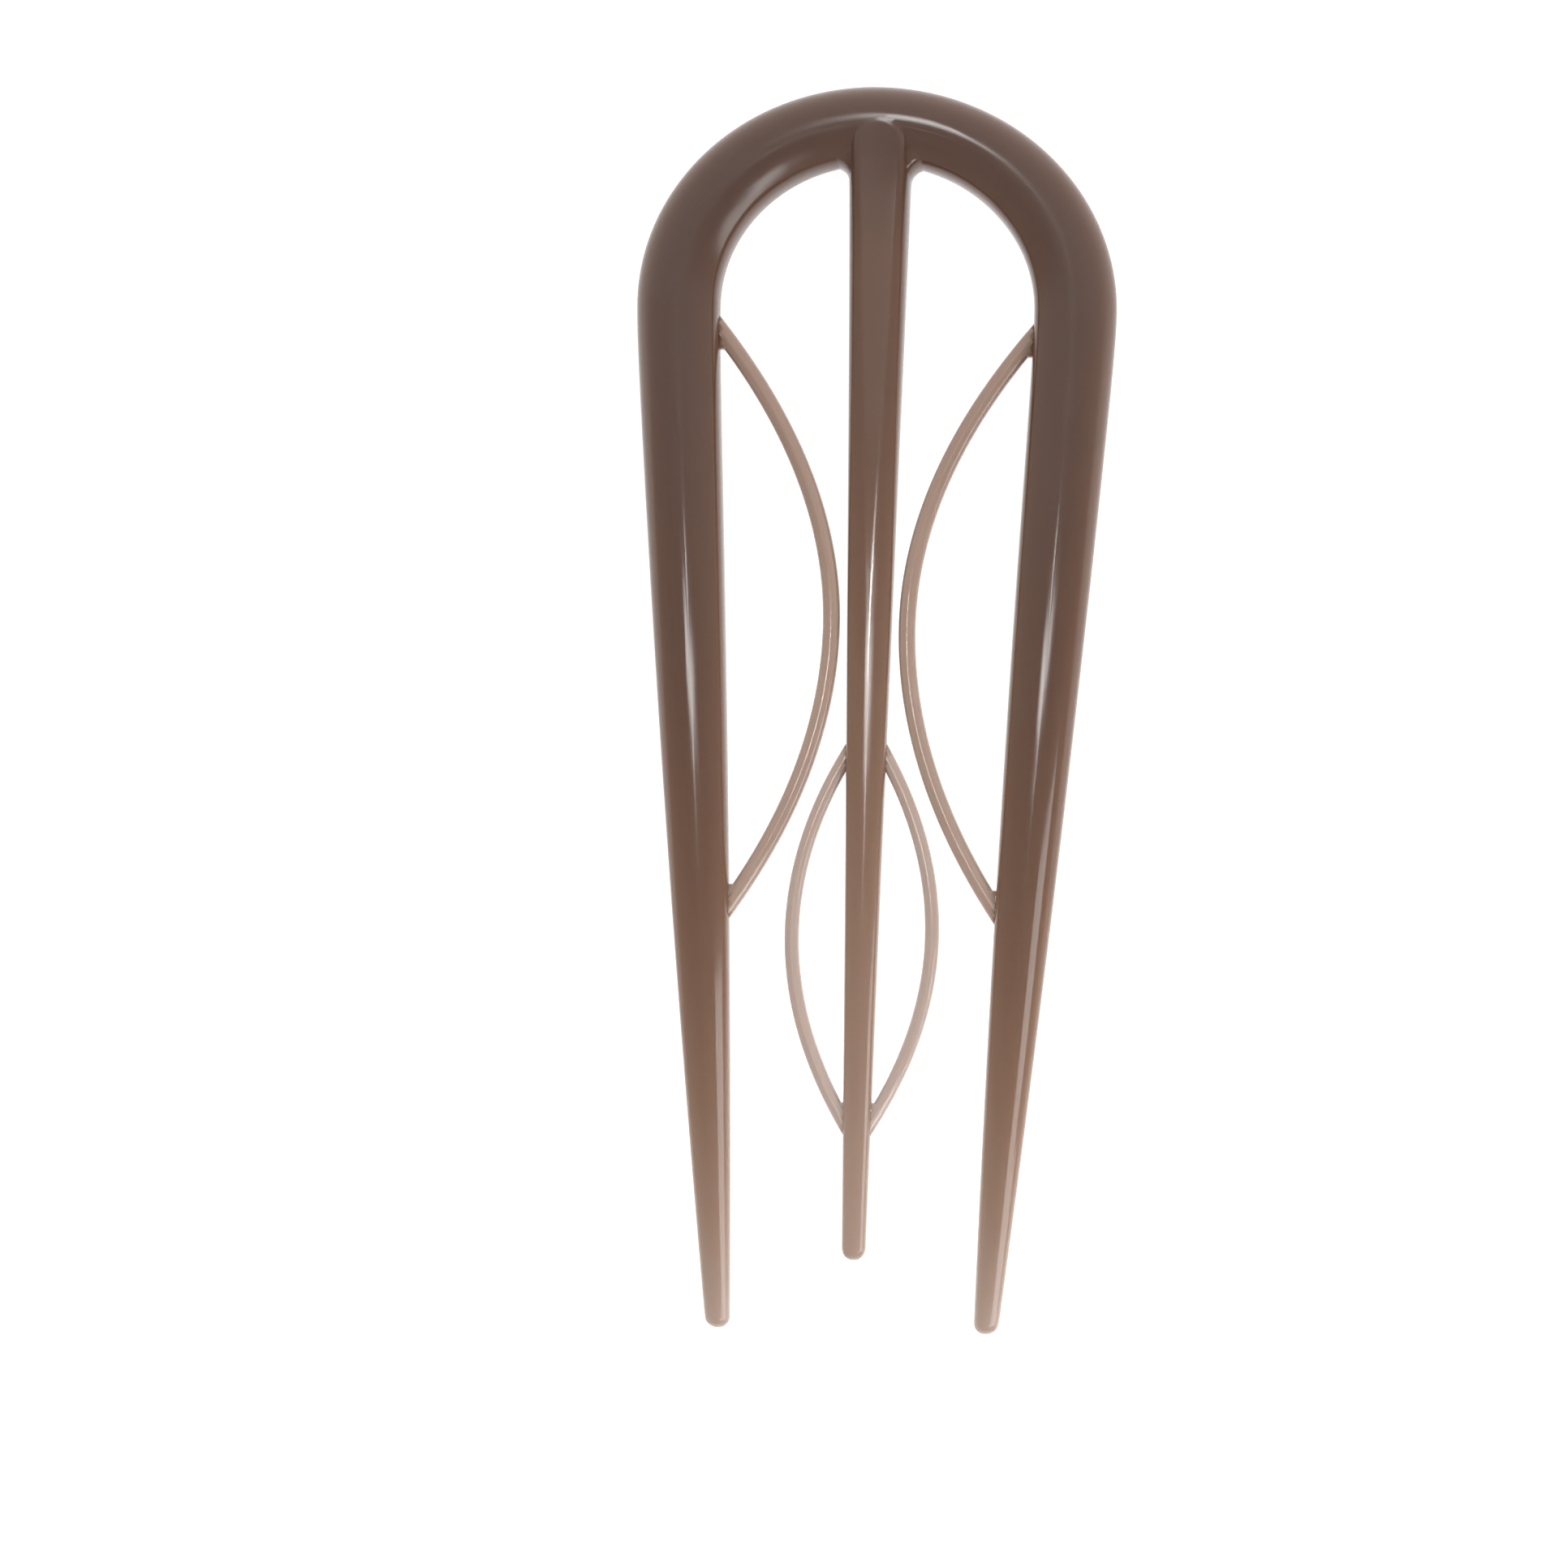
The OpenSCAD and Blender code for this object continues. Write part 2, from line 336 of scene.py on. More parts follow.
def mix(a, b, k):
    return a + (b - a) * k


def ease(k):
    k = min(1, max(0, k))
    return k * k * (3 - 2 * k)


def y_at(down):
    """Place along the pin that is so far down from the top of the arch"""
    return sizes().pin_l / 2 - down


def bend(a, b, c, k):
    """A point of a curve that leaves a towards b and arrives at c from b"""
    return tuple(p * (1 - k) ** 2 + q * 2 * k * (1 - k) + r * k * k for p, q, r in zip(a, b, c))


def back_edge(half_w, z_wide):
    edge = min(sizes().edge_round, half_w / 2)
    angles = [pi / 2 * i / BACK_STEPS for i in range(BACK_STEPS + 1)]
    return [(0, 0)] + [(half_w - edge + edge * sin(a), z_wide * (1 - cos(a))) for a in angles]


def wall_inset(half_w, wanted):
    return min(wanted, WALL_SHARE * half_w)


def walled_half(half_w, thick, fall, inset, facet=0, power=ROUND_POWER, front_steps=FRONT_STEPS):
    """Half a section with a steep side wall, from the middle of the back to the crest

    The front is flat over its facet's share and falls from there to the crease above the wall.
    """
    z_wide = WIDEST_AT * thick
    crease = (half_w - inset, thick - fall)
    knee = (half_w, z_wide + WALL_BEND * (crease[1] - z_wide))
    soft = min(sizes().crease_r, inset / 3)

    def front(u):
        k = max(0, u / crease[0] - facet) / (1 - facet)
        return (u, thick - fall * k ** power)

    def wall(k):
        return bend((half_w, z_wide), knee, crease, k)

    wall_end = 1 - soft / (2 * hypot(crease[0] - knee[0], crease[1] - knee[1]))
    front_start = crease[0] - soft
    points = back_edge(half_w, z_wide)
    points += [wall(wall_end * i / WALL_STEPS) for i in range(1, WALL_STEPS + 1)]
    low, high = wall(wall_end), front(front_start)
    points += [bend(low, crease, high, i / CREASE_STEPS) for i in range(1, CREASE_STEPS + 1)]
    points += [front(front_start * i / front_steps) for i in range(front_steps - 1, -1, -1)]
    return points


def round_half(half_w, thick):
    """Half a section with a round side, with the same number of points"""
    z_wide = WIDEST_AT * thick
    steps = WALL_STEPS + CREASE_STEPS + FRONT_STEPS
    angles = [pi / 2 * i / steps for i in range(1, steps + 1)]
    return back_edge(half_w, z_wide) + [(half_w * cos(a), z_wide + (thick - z_wide) * sin(a)) for a in angles]


def whole(right, left):
    """A closed section from its right and left halves, anticlockwise from the middle of the back"""
    return right + [(-x, z) for x, z in reversed(left[1:-1])]


def leg_section(half_w, thick, square=0):
    """A leg's section: its outer side is round where square is 0, and like its inner side where it is 1"""
    inset = wall_inset(half_w, sizes().wall_in)
    inner = walled_half(half_w, thick, mix(LEG_DROP, LOW_LEG_DROP, square) * (half_w - inset), inset)
    rounded = round_half(half_w, thick)
    outer = [(mix(x, u, square), mix(z, w, square)) for (x, z), (u, w) in zip(rounded, inner)]
    return whole(outer, inner)


def even_section(half_w, thick, fall, inset, **form):
    half = walled_half(half_w, thick, fall, inset, **form)
    return whole(half, half)


def ring(outline, mid, across, thick, base_z=0, size=1):
    """A section at its middle, along a direction across the bar, shrunk about its widest line"""
    z_wide = WIDEST_AT * thick
    points = []
    for x, z in outline:
        up = base_z + z_wide + (z - z_wide) * size
        points.append(Vector((mid[0] + across[0] * x * size, mid[1] + across[1] * x * size, up)))
    return points


def edge_ring(inner, outer, thick, square=0, size=1):
    """A ring between the inner and the outer edge of the arch or a leg"""
    across = outer - inner
    outline = leg_section(across.length / 2, thick, square)
    return ring(outline, (inner + outer) / 2, across.normalized(), thick, size=size)


def leg_l():
    return sizes().pin_l - sizes().arch_h


def leg_x(below):
    """Middle of a leg, so far below the line where the legs start"""
    shoulder_x = (sizes().pin_w - sizes().shoulder_w) / 2
    return shoulder_x - tan(sizes().leg_lean) * (hypot(below, LEG_BEND) - LEG_BEND)


def leg_w(below):
    k = below / leg_l()
    return mix(sizes().shoulder_w, sizes().leg_tip_w, LEG_STRAIGHT * k + (1 - LEG_STRAIGHT) * k * k)


def leg_t(below):
    return sizes().arch_t * leg_w(below) / sizes().shoulder_w


def leg_inner_x(down):
    below = down - sizes().arch_h
    return leg_x(below) - leg_w(below) / 2


def leg_ring(side, below, shape_below, size=1):
    y = y_at(sizes().arch_h + below)
    half = leg_w(shape_below) / 2
    inner = Vector((side * (leg_x(below) - half), y))
    outer = Vector((side * (leg_x(below) + half), y))
    return edge_ring(inner, outer, leg_t(shape_below), ease(shape_below / leg_l()), size)


def leg_rings(side):
    """The rings of one leg from the arch to its rounded tip"""
    tip_r = sizes().leg_tip_w / 2
    end = leg_l() - tip_r
    belows = [end * (i / LEG_STEPS) ** LEG_SPACING for i in range(LEG_STEPS + 1)]
    rings = [leg_ring(side, below, below) for below in belows]
    for degrees in TIP_ANGLES:
        a = radians(degrees)
        rings.append(leg_ring(side, end + tip_r * sin(a), end, cos(a)))
    return rings


def arch_ring(angle):
    s = sizes()
    spring_y = y_at(s.arch_h)
    inner_half, inner_h = s.pin_w / 2 - s.shoulder_w, s.arch_h - s.crown_w
    inner = Vector((inner_half * cos(angle), spring_y + inner_h * sin(angle)))
    outer = Vector((s.pin_w / 2 * cos(angle), spring_y + s.arch_h * sin(angle)))
    return edge_ring(inner, outer, s.arch_t)


def prong_w(down):
    s = sizes()
    k = (down - s.head_down) / (s.prong_down - s.head_down)
    return mix(s.prong_root_w, s.prong_tip_w, PRONG_STRAIGHT * k + (1 - PRONG_STRAIGHT) * k * k)


def prong_t(down):
    s = sizes()
    return s.prong_depth * prong_w(down) + s.head_rise * exp(-(((down - s.head_down) / HEAD_FADE) ** 2))


def facet_left(down):
    """What is left of the head's flat facet: 1 at the head, 0 where the front is round"""
    return max(0, 1 - (down - sizes().head_down) / FACET_L)


def prong_form(down, half_w):
    """Fall, wall and facet of the prong's section"""
    s = sizes()
    left = facet_left(down)
    inset = wall_inset(half_w, mix(s.prong_wall_in, s.head_wall_in, ease(WALL_GROWTH * left)))
    fall = mix(PRONG_DROP * (half_w - inset), FACET_FALL, left)
    return {"fall": fall, "inset": inset, "facet": FACET_SHARE * left}


def prong_ring(down, half_w, thick, size=1):
    outline = even_section(half_w, thick, **prong_form(down, half_w))
    return ring(outline, (0, y_at(down)), (1, 0), thick, size=size)


def head_half(turn):
    """Half a section of the prong's head, turned from the right side (0) over the arch to the left (pi)"""
    down = HEAD_MID_DOWN
    half_w = prong_w(down) / 2
    form = prong_form(down, half_w)
    north = sin(turn) ** 2
    half = mix(half_w, HEAD_REACH, north)
    inset = mix(form["inset"], HEAD_WALL_IN, north)
    flat = mix(form["facet"] * (half_w - form["inset"]), HEAD_FACET, north)
    fall = mix(form["fall"], HEAD_FALL, north)
    power = mix(ROUND_POWER, HEAD_POWER, north)
    outline = walled_half(half, prong_t(down), fall, inset, facet=flat / (half - inset), power=power)
    tilt = (prong_t(down - SLOPE_STEP) - prong_t(down + SLOPE_STEP)) / (2 * SLOPE_STEP)
    points = []
    for u, z in outline:
        y = u * sin(turn)
        points.append(Vector((u * cos(turn), y_at(down) + y, z * (1 + tilt * y / prong_t(down)))))
    return points


def rib_x(down):
    s = sizes()
    end = s.rib_top_down if down < s.rib_apex_down else s.rib_low_down
    return mix(s.rib_apex_x, leg_inner_x(end), ((down - s.rib_apex_down) / (end - s.rib_apex_down)) ** 2)


def leaf_bar_x(down):
    s = sizes()
    return s.leaf_x * (1 - ((down - s.leaf_down) / (s.leaf_l / 2)) ** 2)


def rib_z(down):
    return WIDEST_AT * leg_t(down - sizes().arch_h)


def leaf_z(down):
    return WIDEST_AT * prong_t(down)


def bar_rings(start, end, steps, x_at, z_at, width, thick):
    """The rings of a thin bar on the right side, each square to its centre line"""
    inset = WALL_SHARE * width / 2
    fall = BAR_DROP * (width / 2 - inset)
    form = {"facet": BAR_RIDGE, "power": BAR_POWER, "front_steps": THIN_FRONT_STEPS}
    outline = even_section(width / 2, thick, fall, inset, **form)
    rings = []
    for i in range(steps + 1):
        down = mix(start, end, i / steps)
        lean = (x_at(down + SLOPE_STEP) - x_at(down - SLOPE_STEP)) / (2 * SLOPE_STEP)
        across = Vector((1, lean)).normalized()
        rings.append(ring(outline, (x_at(down), y_at(down)), across, thick, base_z=z_at(down) - thick / 2))
    return rings


def select_none():
    if bpy.context.object and bpy.context.object.mode == "EDIT":
        bpy.ops.object.mode_set(mode="OBJECT")
    bpy.ops.object.select_all(action="DESELECT")


def picked(piece):
    """The selected points of the piece in edit mode"""
    return [v for v in bmesh.from_edit_mesh(piece.data).verts if v.select]


def select_first(piece, count):
    """Selects the points that were made first, which are the first ring"""
    bpy.ops.mesh.select_all(action="DESELECT")
    bm = bmesh.from_edit_mesh(piece.data)
    bm.verts.ensure_lookup_table()
    for v in bm.verts[:count]:
        v.select = True
    bm.select_flush(True)
    bmesh.update_edit_mesh(piece.data)


def place(piece, ring_points, expected):
    """Moves the selected points, which stand at the expected places, onto a ring"""
    points = picked(piece)
    if len(points) != len(ring_points):
        raise RuntimeError(f"{piece.name}: {len(points)} points are selected, not {len(ring_points)}")
    for v, old in zip(points, expected):
        if (v.co - old).length > SAME_POINT:
            points = [min(points, key=lambda p: (p.co - e).length) for e in expected]
            break
    for v, co in zip(points, ring_points):
        v.co = co
    bmesh.update_edit_mesh(piece.data, loop_triangles=False, destructive=False)


def start_bar(name, first):
    """A filled circle whose points are moved onto the first ring, left in edit mode"""
    select_none()
    centre = sum(first, Vector()) / len(first)
    bpy.ops.mesh.primitive_circle_add(vertices=len(first), radius=MM, fill_type="NGON", location=centre)
    piece = bpy.context.object
    piece.name = name
    piece.data.name = name
    bpy.ops.object.transform_apply(location=True, rotation=True, scale=True)
    bpy.ops.object.mode_set(mode="EDIT")
    bpy.ops.mesh.select_all(action="SELECT")
    points = picked(piece)
    place(piece, first, [v.co.copy() for v in points])
    return piece


def extrude_along(piece, rings):
    """Extrudes the selected end ring by ring; the first ring is where the end stands now"""
    for last, new in zip(rings, rings[1:]):
        step = new[0] - last[0]
        bpy.ops.mesh.extrude_region_move(TRANSFORM_OT_translate={"value": step})
        place(piece, new, [p + step for p in last])


def finish_bar(piece):
    bpy.ops.mesh.select_all(action="SELECT")
    bpy.ops.mesh.remove_doubles(threshold=MERGE)
    bpy.ops.mesh.normals_make_consistent(inside=False)
    bpy.ops.object.mode_set(mode="OBJECT")
    return piece


def close_tip():
    bpy.ops.mesh.merge(type="COLLAPSE")


def sweep(name, rings, tips=False):
    """A bar extruded along its rings, with both ends drawn to a point where they are tips"""
    piece = start_bar(name, rings[0])
    extrude_along(piece, rings)
    if tips:
        close_tip()
        select_first(piece, len(rings[0]))
        close_tip()
    return finish_bar(piece)


def mirror_copy(piece, name):
    """A copy with its own mesh, mirrored to the other side"""
    select_none()
    piece.select_set(True)
    bpy.context.view_layer.objects.active = piece
    bpy.ops.object.duplicate()
    copy = bpy.context.object
    copy.name = name
    copy.data.name = name
    bpy.ops.transform.resize(value=(-1, 1, 1), center_override=(0, 0, 0))
    bpy.ops.object.transform_apply(location=True, rotation=True, scale=True)
    bpy.ops.object.mode_set(mode="EDIT")
    bpy.ops.mesh.select_all(action="SELECT")
    bpy.ops.mesh.normals_make_consistent(inside=False)
    bpy.ops.object.mode_set(mode="OBJECT")
    return copy


def fuse(piece, others):
    """Joins the others to the piece as one closed skin"""
    for other in others:
        select_none()
        piece.select_set(True)
        bpy.context.view_layer.objects.active = piece
        union = piece.modifiers.new("join", "BOOLEAN")
        union.operation = "UNION"
        union.solver = "MANIFOLD"
        union.object = other
        bpy.ops.object.modifier_apply(modifier=union.name)
        bpy.data.objects.remove(other, do_unlink=True)


class HAIRPIN_OT_arch_and_legs(bpy.types.Operator):
    """Make the arch and the two legs as one bent bar"""

    bl_idname = "hairpin.arch_and_legs"
    bl_label = "Arch and legs"

    def execute(self, context):
        arch = [arch_ring(pi - pi * i / ARCH_STEPS) for i in range(1, ARCH_STEPS)]
        rings = list(reversed(leg_rings(-1))) + arch + leg_rings(1)
        sweep("arch_and_legs", rings, tips=True)
        return {"FINISHED"}


class HAIRPIN_OT_prong(bpy.types.Operator):
    """Make the middle prong with its round head and its fillets"""

    bl_idname = "hairpin.prong"
    bl_label = "Middle prong"

    def execute(self, context):
        s = sizes()
        start = HEAD_MID_DOWN
        tip_r = s.prong_tip_w / 2
        end = s.prong_down - tip_r
        downs = [mix(start, end, i / PRONG_STEPS) for i in range(PRONG_STEPS + 1)]
        rings = [prong_ring(down, prong_w(down) / 2, prong_t(down)) for down in downs]
        for degrees in TIP_ANGLES:
            a = radians(degrees)
            rings.append(prong_ring(end + tip_r * sin(a), tip_r, prong_t(end), size=cos(a)))
        piece = start_bar("prong", rings[0])
        extrude_along(piece, rings)
        close_tip()
        self.round_head(piece)
        finish_bar(piece)
        fillet = self.fillet()
        fuse(piece, [fillet, mirror_copy(fillet, "fillet_left")])
        return {"FINISHED"}

    def fillet(self):
        """The right fillet between the prong and the arch, turned about a middle in the opening"""
        r = sizes().root_fillet
        mid = Vector((prong_w(FILLET_DOWN + r) / 2 + r, y_at(FILLET_DOWN + r)))
        outline = even_section(FILLET_HALF, FILLET_T, fall=FILLET_FALL, inset=FILLET_WALL_IN)
        rings = []
        for degrees in FILLET_ANGLES:
            way = Vector((cos(radians(degrees)), sin(radians(degrees))))
            rings.append(ring(outline, mid + way * (r + FILLET_HALF), way, FILLET_T))
        return sweep("fillet_right", rings)

    def round_head(self, piece):
        """Turns half of the first section round to the other half, step by step"""
        turned = [head_half(pi * i / HEAD_STEPS) for i in range(HEAD_STEPS + 1)]
        bpy.ops.mesh.select_all(action="DESELECT")
        bpy.ops.mesh.select_mode(type="FACE")
        bm = bmesh.from_edit_mesh(piece.data)
        cap = max(bm.faces, key=lambda f: len(f.verts))
        cap.select = True
        bmesh.update_edit_mesh(piece.data)
        bpy.ops.mesh.delete(type="ONLY_FACE")
        bpy.ops.mesh.select_mode(type="VERT")
        select_first(piece, len(turned[0]))
        extrude_along(piece, turned)
        bpy.ops.mesh.select_all(action="SELECT")
        bpy.ops.mesh.remove_doubles(threshold=HEAD_MERGE)


class HAIRPIN_OT_ribs(bpy.types.Operator):
    """Make the two bowed ribs"""

    bl_idname = "hairpin.ribs"
    bl_label = "Bowed ribs"

    def execute(self, context):
        s = sizes()
        start = s.rib_top_down - BAR_SINK
        end = s.rib_low_down + BAR_SINK
        rings = bar_rings(start, end, RIB_STEPS, rib_x, rib_z, s.rib_w, s.rib_t)
        mirror_copy(sweep("rib_right", rings), "rib_left")
        return {"FINISHED"}


class HAIRPIN_OT_leaf_loop(bpy.types.Operator):
    """Make the two bars of the leaf-shaped loop"""

    bl_idname = "hairpin.leaf_loop"
    bl_label = "Leaf loop"

    def execute(self, context):
        s = sizes()
        start = s.leaf_down - s.leaf_l / 2 + LEAF_SINK
        end = s.leaf_down + s.leaf_l / 2 - LEAF_SINK
        rings = bar_rings(start, end, LEAF_STEPS, leaf_bar_x, leaf_z, s.leaf_w, s.leaf_t)
        mirror_copy(sweep("leaf_right", rings), "leaf_left")
        return {"FINISHED"}


class HAIRPIN_OT_webs(bpy.types.Operator):
    """Fill the sharp corners where a thin bar meets a leg or the prong"""

    bl_idname = "hairpin.webs"
    bl_label = "Corner webs"

    def execute(self, context):
        s = sizes()
        webs = []
        for end, way in ((s.rib_top_down, 1), (s.rib_low_down, -1)):
            open_at = end + way * RIB_WEB_L
            wall = (leg_inner_x(open_at) + WEB_SINK, open_at)
            corners = [(leg_inner_x(end), end), (rib_x(open_at), open_at), wall]
            webs.append((corners, rib_z(open_at), s.rib_t))
        for end, way in ((s.leaf_down - s.leaf_l / 2, 1), (s.leaf_down + s.leaf_l / 2, -1)):
            open_at = end + way * LEAF_WEB_L
            wall = (prong_w(open_at) / 2 - WEB_SINK, open_at)
            corners = [(0, end), (leaf_bar_x(open_at), open_at), wall]
            webs.append((corners, leaf_z(open_at), s.leaf_t))
        for number, web in enumerate(webs):
            self.web(number, *web)
        return {"FINISHED"}

    def web(self, number, corners, z, thick):
        """A thin three-cornered plate with rounded edges, and its mirror image"""
        select_none()
        bpy.ops.mesh.primitive_circle_add(vertices=3, radius=MM, fill_type="NGON")
        piece = bpy.context.object
        piece.name = f"web_{number}_right"
        bpy.ops.object.mode_set(mode="EDIT")
        bpy.ops.mesh.select_all(action="SELECT")
        low = [Vector((x, y_at(down), z - WEB_SHARE / 2 * thick)) for x, down in corners]
        place(piece, low, [v.co.copy() for v in picked(piece)])
        bpy.ops.mesh.extrude_region_move(TRANSFORM_OT_translate={"value": (0, 0, WEB_SHARE * thick)})
        finish_bar(piece)
        rounding = piece.modifiers.new("rounding", "BEVEL")
        rounding.width = WEB_BEVEL
        rounding.segments = 2
        bpy.ops.object.modifier_apply(modifier=rounding.name)
        mirror_copy(piece, f"web_{number}_left")


class HAIRPIN_OT_moulding(bpy.types.Operator):
    """Fuse the parts into one moulding and give it its plastic"""

    bl_idname = "hairpin.moulding"
    bl_label = "One moulding"

    def execute(self, context):
        piece = bpy.data.objects["arch_and_legs"]
        names = ["prong"]
        for side in ("right", "left"):
            names += [f"rib_{side}", f"leaf_{side}"] + [f"web_{i}_{side}" for i in range(WEB_COUNT)]
        fuse(piece, [bpy.data.objects[n] for n in names])
        piece.name = "hairpin_moulding"
        piece.data.name = "hairpin_moulding"
        select_none()
        piece.select_set(True)
        bpy.context.view_layer.objects.active = piece
        bpy.ops.object.shade_smooth_by_angle(angle=SMOOTH_ANGLE)
        self.mark_thickness(piece)
        piece.data.materials.clear()
        piece.data.materials.append(brown_plastic())
        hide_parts(CAD_NODE)
        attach(piece, BODY)
        return {"FINISHED"}

    def mark_thickness(self, piece):
        """Keeps how thick the plastic looks under each point, in millimetres, which sets the painted light
        from the floor that shines through it
        """
        skin = BVHTree.FromObject(piece, bpy.context.evaluated_depsgraph_get())
        layer = piece.data.attributes.new("thickness", "FLOAT", "POINT")
        depths = [seen_depth(v.co, depth_under(skin, v)) / MM for v in piece.data.vertices]
        layer.data.foreach_set("value", depths)


def seen_depth(co, depth):
    """The thickness that the colour shows, which sets how much painted light from the floor shines through
    there
    """
    s = sizes()
    down = s.pin_l / 2 - co.y
    prong_edge = prong_w(down) / 2 + EDGE_MARGIN
    if abs(co.x) < prong_edge and down > HEAD_MID_DOWN:
        near_head = ease((HEAD_DEEPER_DOWN - down) / (HEAD_DEEPER_DOWN - HEAD_MID_DOWN))
        return min(depth * PRONG_DARKER, PRONG_DEEPEST + HEAD_DEEPER * near_head)
    if down > s.rib_top_down - BAR_SINK and prong_edge < abs(co.x) < leg_inner_x(down) - EDGE_MARGIN:
        return depth * mix(*BAR_DARKER, (down - s.rib_top_down) / (s.leaf_down - s.rib_top_down))
    return depth


def depth_under(skin, v):
    """Length of plastic on the upright line through a point just inside the skin"""
    inside = v.co - v.normal * NUDGE
    from_z = 2 * sizes().arch_t
    total = 0
    top = None
    while True:
        hit, normal, _, _ = skin.ray_cast(Vector((inside.x, inside.y, from_z)), Vector((0, 0, -1)))
        if hit is None:
            return total
        if normal.z > 0:
            top = top or hit.z
        elif top is not None:
            total += top - hit.z
            top = None
        from_z = hit.z - RAY_STEP


def brown_plastic():
    """Glossy brown plastic, darker where it is thick; its colour is its own brown with painted light from the
    floor shining through, paler where it is thin
    """
    f = bpy.context.scene.hairpin_finish
    material = bpy.data.materials.new("brown_plastic")
    material.use_nodes = True
    tree = material.node_tree
    tree.nodes.clear()
    out = tree.nodes.new("ShaderNodeOutputMaterial")
    skin = tree.nodes.new("ShaderNodeBsdfPrincipled")
    depth = tree.nodes.new("ShaderNodeAttribute")
    depth.attribute_name = "thickness"
    ramp = tree.nodes.new("ShaderNodeValToRGB")
    scale = tree.nodes.new("ShaderNodeMath")
    scale.operation = "DIVIDE"
    scale.inputs[1].default_value = TINT_END
    stops = ramp.color_ramp.elements
    tints = list(zip(f.thick_color, f.thin_painted_light_gain, f.tint_fall))
    while len(stops) < len(TINT_STEPS):
        stops.new(0.5)
    # Each stop is the thick colour plus painted light from the floor, which fades as the plastic thickens
    for stop, t in zip(stops, TINT_STEPS):
        stop.position = t / TINT_END
        stop.color = [min(1, left + gain * exp(-fall * t)) for left, gain, fall in tints] + [1]
    link = tree.links.new
    link(depth.outputs["Fac"], scale.inputs[0])
    link(scale.outputs[0], ramp.inputs["Fac"])
    link(ramp.outputs["Color"], skin.inputs["Base Color"])
    link(uneven_surface(tree), skin.inputs["Normal"])
    skin.inputs["Roughness"].default_value = f.roughness
    link(satin_mask(tree, f), skin.inputs["Roughness"])
    skin.inputs["IOR"].default_value = IOR
    skin.inputs["Subsurface Weight"].default_value = 1
    skin.inputs["Subsurface Radius"].default_value = SCATTER_COLORS
    skin.inputs["Subsurface Scale"].default_value = SCATTER
    link(skin.outputs[0], out.inputs["Surface"])
    return material


def math_node(tree, operation, *values):
    node = tree.nodes.new("ShaderNodeMath")
    node.operation = operation
    for socket, value in zip(node.inputs, values):
        if isinstance(value, bpy.types.NodeSocket):
            tree.links.new(value, socket)
        else:
            socket.default_value = value
    return node.outputs[0]


def slope(tree, axis, low, high, gain=1):
    """Rises smoothly from 0 to the gain as the axis goes from low to high"""
    step = tree.nodes.new("ShaderNodeMapRange")
    step.interpolation_type = "SMOOTHSTEP"
    step.inputs["From Min"].default_value = low
    step.inputs["From Max"].default_value = high
    step.inputs["To Max"].default_value = gain
    tree.links.new(axis, step.inputs["Value"])
    return step.outputs[0]


def satin_mask(tree, finish):
    """Roughness over the pin: satin on the arch except right of the prong's head, glossy below"""
    coords = tree.nodes.new("ShaderNodeTexCoord")
    parts = tree.nodes.new("ShaderNodeSeparateXYZ")
    tree.links.new(coords.outputs["Object"], parts.inputs[0])
    x, y, _ = parts.outputs
    right = math_node(tree, "MULTIPLY", slope(tree, x, *GLOSS_FROM_X), slope(tree, x, *GLOSS_TO_X))
    patch = math_node(tree, "MULTIPLY", right, slope(tree, y, *GLOSS_Y))
    satin = math_node(tree, "MULTIPLY", slope(tree, y, *SATIN_Y), math_node(tree, "SUBTRACT", 1, patch))
    return math_node(tree, "MULTIPLY_ADD", satin, finish.satin - finish.roughness, finish.roughness)


def uneven_surface(tree):
    """The slight waves of a moulded surface"""
    coords = tree.nodes.new("ShaderNodeTexCoord")
    stretch = tree.nodes.new("ShaderNodeMapping")
    stretch.inputs["Scale"].default_value = WAVE_STRETCH
    waves = tree.nodes.new("ShaderNodeTexNoise")
    waves.inputs["Scale"].default_value = WAVE_SCALE
    waves.inputs["Detail"].default_value = 1
    bump = tree.nodes.new("ShaderNodeBump")
    bump.inputs["Strength"].default_value = 1
    bump.inputs["Distance"].default_value = WAVE_HEIGHT
    tree.links.new(coords.outputs["Object"], stretch.inputs[0])
    tree.links.new(stretch.outputs[0], waves.inputs["Vector"])
    tree.links.new(waves.outputs["Fac"], bump.inputs["Height"])
    return bump.outputs[0]


def soft_light(name, middle, size, radiance, aim, spread):
    """A rectangular light that faces a point, as bright as a surface of the given radiance"""
    select_none()
    bpy.ops.object.light_add(type="AREA", location=Vector(middle) * MM)
    lamp = bpy.context.object
    lamp.name = name
    lamp.data.shape = "RECTANGLE"
    lamp.data.size, lamp.data.size_y = size[0] * MM, size[1] * MM
    lamp.data.energy = radiance * pi * lamp.data.size * lamp.data.size_y
    lamp.data.spread = spread
    # A narrow spread gathers the light ahead, so the same radiance there takes less energy
    if spread < pi:
        lamp.data.energy *= 1 - spread / 2 / tan(spread / 2)
    lamp.rotation_euler = ((Vector(aim) - Vector(middle)) * MM).to_track_quat("-Z", "Y").to_euler()


